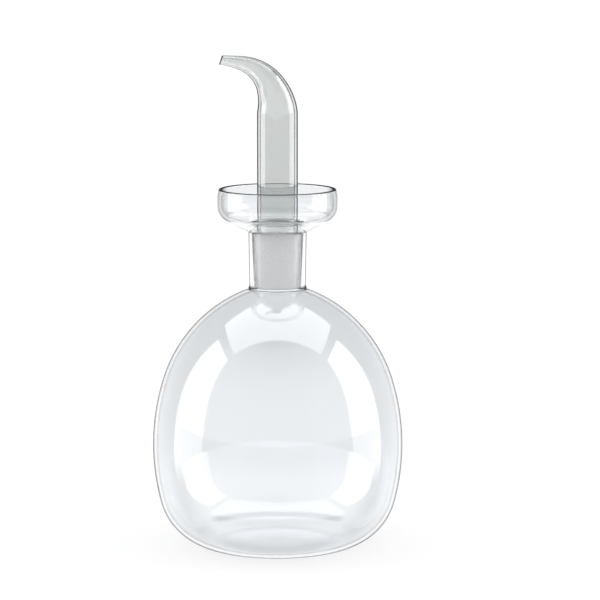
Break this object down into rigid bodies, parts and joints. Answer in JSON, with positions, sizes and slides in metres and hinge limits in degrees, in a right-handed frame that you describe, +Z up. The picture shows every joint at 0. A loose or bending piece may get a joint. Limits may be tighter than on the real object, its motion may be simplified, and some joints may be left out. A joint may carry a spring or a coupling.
{
  "type": "retort flask",
  "caption": "Blown glass retort flask with a tapered neck socket in a drip cup, and a curved tapering spout seated in it by a ground cone.",
  "frame": {"origin": "centre of the flask's base, on the surface it stands on", "axes": "+Z up along the axis of bulb, neck and ground joint; the spout's tip points along -X"},
  "size_m": [0.1394, 0.1394, 0.2743],
  "materials": {
    "clear_glass": "clear borosilicate glass, fire-polished",
    "ground_glass": "ground and frosted"
  },
  "bodies": {
    "flask": {"bulb": "clear_glass", "neck_socket": "clear_glass", "drip_cup": "clear_glass"},
    "cone": {"spout_cone": "ground_glass"},
    "beak": {"spout_tube": "clear_glass"}
  },
  "joints": [
    {"name": "spout_lift", "type": "slide", "parent": "flask", "child": "cone", "axis": [0, 0, 1], "range_m": [0, 0.07]},
    {"name": "spout_turn", "type": "hinge", "parent": "cone", "child": "beak", "pos_m": [0, 0, 0.18126], "axis": [0, 0, 1], "continuous": true}
  ]
}
